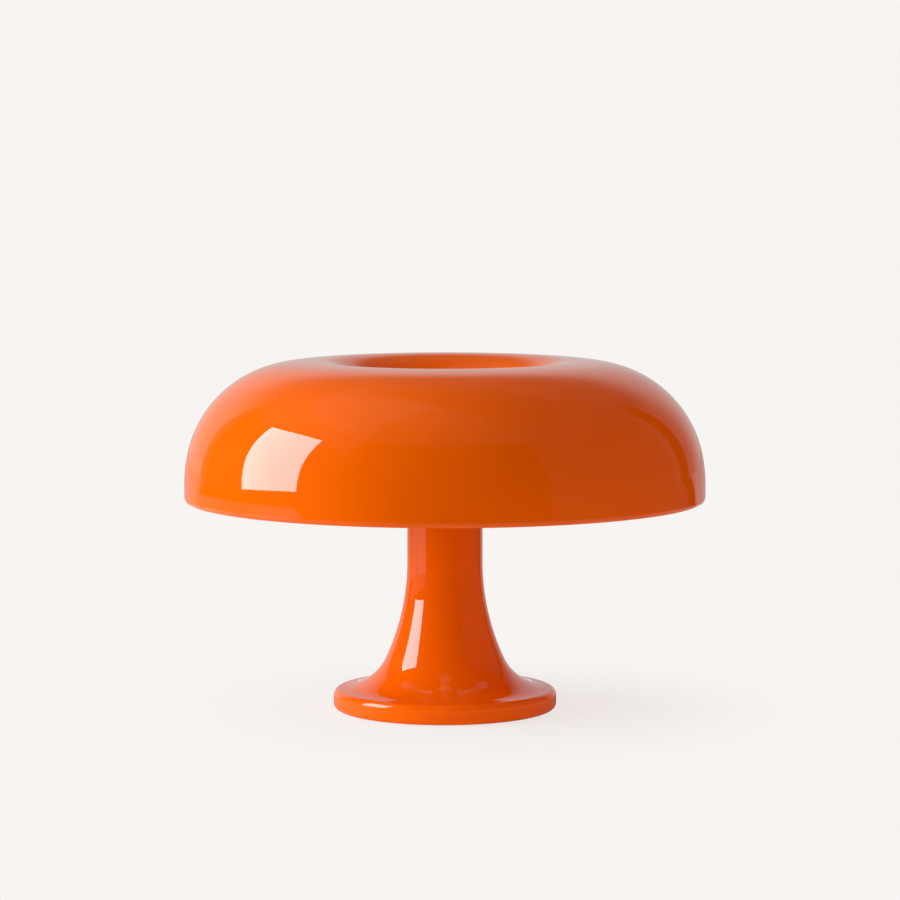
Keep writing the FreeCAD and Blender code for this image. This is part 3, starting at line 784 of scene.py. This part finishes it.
left_end = (-58.0, -52.0)
darkest_mirrored = 0.005

world = bpy.data.worlds.new("studio")
bpy.context.scene.world = world
world.use_nodes = True
room = Wiring(world.node_tree)
way = room.node("ShaderNodeTexCoord").outputs["Generated"]
bearing, lift, height = room.angles(way)
turned_away = room.maths("ABSOLUTE", bearing)
sheet = room.product(sheet_light,
                     room.total(room.rise(bearing, *sheet_margin, 0.0, sheet_margin_share),
                                room.rise(bearing, *sheet_left, 0.0, 1.0 - sheet_margin_share)),
                     room.rise(bearing, *sheet_shading, 1.0, sheet_right_share),
                     room.fall(bearing, *sheet_right), room.fall(lift, *sheet_top))
screen = room.product(screen_light, room.rise(bearing, *screen_left),
                      room.fall(bearing, *screen_right), room.rise(lift, *screen_foot))
roof = room.product(roof_light, room.fall(turned_away, *open_front),
                    room.rise(lift, *roof_foot),
                    room.rise(lift, *roof_dimmer, 1.0, roof_top_share),
                    room.rise(bearing, *roof_shading, 1.0, roof_right_share))
lintel = room.product(room.rise(turned_away, *open_front),
                      room.total(room.rise(lift, *lintel_foot, 0.0, lintel_light),
                                 room.rise(lift, *lintel_top, 0.0, lintel_top_light)))
right_panel = room.product(panel_light, room.rise(bearing, *panel_start),
                           room.fall(bearing, *panel_end), room.fall(lift, *panel_top))
strip = room.product(strip_light, room.rise(bearing, *panel_start),
                     room.fall(bearing, *strip_end), room.fall(lift, *panel_top))
left_panel = room.product(left_light, room.fall(bearing, *left_end),
                          room.rise(bearing, *left_start))
mirrored = room.total(darkest_mirrored, sheet, screen, roof, lintel, right_panel, strip,
                      left_panel)

# What lights the lamp softly: an even room, with more from the left, most of that near level,
# and some from the right, all a little dimmer from below and a little warmer from the right.
left_bearing = -112.0
left_lift = 20.0
right_bearing = 105.0
even_light = 0.55
left_room_light = 0.20
left_level_light = 0.90
right_room_light = 0.44
from_below_share = 0.6
broad = 3.0
narrow = 12.0
horizon = 0.02
side_reach = 0.7
green_share = (1.00, 0.84)
blue_share = (0.97, 0.83)

level = room.maths("POWER", room.maths("SUBTRACT", 1.0, room.product(height, height)), narrow)
soft = room.total(even_light,
                  room.product(left_room_light, room.lobe(way, left_bearing, left_lift, broad)),
                  room.product(left_level_light, level,
                               room.lobe(way, left_bearing, 0.0, broad)),
                  room.product(right_room_light, room.lobe(way, right_bearing, 0.0, broad)))
soft = room.product(soft, room.rise(height, -horizon, horizon, from_below_share, 1.0))
panels = room.node("ShaderNodeBackground", Strength=mirrored, Color=mirrored_tone)
side = room.node("ShaderNodeSeparateXYZ", Vector=way).outputs["X"]
warmth = room.node("ShaderNodeCombineColor", Red=1.0,
                   Green=room.rise(side, -side_reach, side_reach, *green_share),
                   Blue=room.rise(side, -side_reach, side_reach, *blue_share)).outputs["Color"]
general = room.node("ShaderNodeBackground", Strength=soft, Color=warmth)
plain = room.node("ShaderNodeBackground", Strength=1.0, Color=backdrop_colour)
rays = room.node("ShaderNodeLightPath")
mirror_ray = room.maths("MAXIMUM", rays.outputs["Is Glossy Ray"],
                        rays.outputs["Is Transmission Ray"])
seen = room.mixed(mirror_ray, general.outputs["Background"], panels.outputs["Background"])
seen = room.mixed(rays.outputs["Is Camera Ray"], seen, plain.outputs["Background"])
room.node("ShaderNodeOutputWorld", Surface=seen)


def softbox(name, place, target, roll, width, height, radiance, tint=(1.0, 1.0, 1.0)):
    """A flat lamp whose face has the given radiance: power = pi * area * radiance. roll turns it
    about the line from its middle to the target. The camera doesn't see it."""
    lamp = bpy.data.lights.new(name, "AREA")
    lamp.shape = "RECTANGLE"
    lamp.size = width
    lamp.size_y = height
    lamp.energy = math.pi * width * height * radiance
    lamp.color = tint
    made = bpy.data.objects.new(name, lamp)
    offset = np.array(target) - np.array(place)
    away = offset / np.linalg.norm(offset)
    spin = math.atan2(away[1], away[0]) - math.pi / 2
    tip = math.acos(-away[2])
    turn = Euler((tip, 0.0, spin)).to_matrix() @ Matrix.Rotation(math.radians(roll), 3, "Z")
    made.location = place
    made.visible_camera = False
    made.rotation_euler = turn.to_euler()
    bpy.context.scene.collection.objects.link(made)


# The key lamp at the upper left is the bright patch that the shade and the stem mirror. The low
# card lights the left of the foot and of the shade's side.
softbox("key_softbox", place=(-0.923, -0.179, 0.510), target=(0.027, -0.008, 0.249), roll=5.7,
        width=0.549, height=0.695, radiance=8.8, tint=(0.94, 1.16, 1.22))
softbox("low_card", place=(-0.37, -0.01, 0.045), target=(0.597, 0.244, 0.045), roll=0.0,
        width=0.40, height=0.09, radiance=0.30)

# The paper floor. The camera sees the plain backdrop tone, with part of the lamp's own shadow
# close to the foot. The polished skin mirrors glowing zones of it: the sheet running on behind
# the lamp, a card far out on the left, a dim panel on the right, and the floor round the foot,
# brighter on the left as painted light of the key lamp; close to the foot the sheet glows only on
# the left,
# a painted shadow of the lamp on its right. Everything else is lit by its bounce, which glows
# too:
# a little everywhere, more on the right, more by the foot and most there on its left, again
# painted light of the key lamp, and a ring of it under the shade.
floor_side = 4
floor_front = -0.62
floor_back = 5
behind_light = 0.46
behind_left = (-52.0, -43.0)
behind_right = (41.0, 45.0)
foot_shadow_reach = (0.10, 0.22)
foot_left = (-20.0, 10.0)
foot_left_light = 1.3
card_light = (0.62, 0.26)
card_left = (-121.0, -117.5)
card_shading = (-102.0, -84.0)
card_near = (0.45, 0.60)
card_far = (1.40, 1.55)
near_start = (0.10, 0.20)
near_end = (0.55, 0.75)
left_back = (-150.0, -115.0)
left_front = (-60.0, -40.0)
right_light = 0.07
right_start = (51.0, 54.0)
right_end = (128.0, 138.0)
close_light, close_left_light = 0.06, 0.28
around_light, around_left_light = 0.38, 0.22
darkest_floor = 0.01
bounce_light = 0.13
bounce_right_light = 0.21
bounce_right = (0.0, 0.5)
foot_bounce = (0.60, 0.16)
foot_bounce_side = (-0.10, 0.10)
foot_bounce_end = (0.10, 0.35)
ring_bounce = 0.42
ring_start = (0.09, 0.13)
ring_end = (0.20, 0.32)
shadow_edge = (0.07, 0.24)
shadow_kept_out = 0.82

floor_mesh = bpy.data.meshes.new("studio_floor")
floor_mesh.from_pydata([(-floor_side, floor_front, 0), (floor_side, floor_front, 0),
                        (floor_side, floor_back, 0), (-floor_side, floor_back, 0)],
                       [], [(0, 1, 2, 3)])
floor = bpy.data.objects.new("studio_floor", floor_mesh)
bpy.context.scene.collection.objects.link(floor)
paper = bpy.data.materials.new("studio_paper")
paper.use_nodes = True
ground = Wiring(paper.node_tree)
where = ground.node("ShaderNodeTexCoord").outputs["Object"]
bearing = ground.angles(where)[0]
reach = ground.tree.nodes.new("ShaderNodeVectorMath")
reach.operation = "LENGTH"
ground.join(reach.inputs[0], where)
reach = reach.outputs["Value"]
# Near the foot the sheet glows only on its left, and more there: painted shadow of the lamp on
# the right, painted key light on the left.
behind = ground.product(behind_light, ground.rise(bearing, *behind_left),
                        ground.fall(bearing, *behind_right),
                        ground.total(ground.rise(reach, *foot_shadow_reach),
                                     ground.product(ground.fall(bearing, *foot_left,
                                                                foot_left_light),
                                                    ground.fall(reach, *foot_shadow_reach))))
left_card = ground.product(ground.rise(bearing, *card_left),
                           ground.fall(bearing, *behind_left),
                           ground.rise(bearing, *card_shading, *card_light),
                           ground.rise(reach, *card_near), ground.fall(reach, *card_far))
near = ground.product(ground.rise(reach, *near_start), ground.fall(reach, *near_end))
left = ground.product(ground.rise(bearing, *left_back), ground.fall(bearing, *left_front))
right_floor = ground.product(right_light, ground.rise(bearing, *right_start),
                             ground.fall(bearing, *right_end))
# Round the foot the floor glows brighter on its left: painted light of the key lamp.
close = ground.product(ground.fall(reach, *near_start),
                       ground.total(close_light, ground.product(close_left_light, left)))
around = ground.product(near, ground.total(around_light, ground.product(around_left_light, left)))
mirrored = ground.node("ShaderNodeEmission", Color=mirrored_tone,
                       Strength=ground.total(darkest_floor, behind, left_card, right_floor,
                                             close, around))
across = ground.node("ShaderNodeSeparateXYZ", Vector=where).outputs["X"]
# By the foot the bounce glow is brighter on its left: painted light of the key lamp.
bounced = ground.total(bounce_light, ground.rise(across, *bounce_right, 0.0, bounce_right_light),
                       ground.product(ground.fall(reach, *foot_bounce_end),
                                      ground.rise(across, *foot_bounce_side, *foot_bounce)),
                       ground.product(ring_bounce, ground.rise(reach, *ring_start),
                                      ground.fall(reach, *ring_end)))
bounce = ground.node("ShaderNodeEmission", Color=bounce_tone, Strength=bounced)
lit = ground.node("ShaderNodeBsdfDiffuse", Color=lit_paper)
dim = ground.node("ShaderNodeBsdfDiffuse", Color=dim_paper)
under_light = ground.tree.nodes.new("ShaderNodeAddShader")
ground.join(under_light.inputs[0], dim.outputs["BSDF"])
ground.join(under_light.inputs[1], bounce.outputs["Emission"])
glow = ground.node("ShaderNodeEmission", Color=backdrop_colour, Strength=1.0)
rays = ground.node("ShaderNodeLightPath")
camera_view = ground.mixed(ground.rise(reach, *shadow_edge, shadow_kept_out, 1.0),
                           lit.outputs["BSDF"], glow.outputs["Emission"])
other_view = ground.mixed(rays.outputs["Is Glossy Ray"], under_light.outputs["Shader"],
                          mirrored.outputs["Emission"])
ground.node("ShaderNodeOutputMaterial",
            Surface=ground.mixed(rays.outputs["Is Camera Ray"], other_view, camera_view))
floor_mesh.materials.append(paper)

bpy.context.scene.view_settings.view_transform = "Standard"
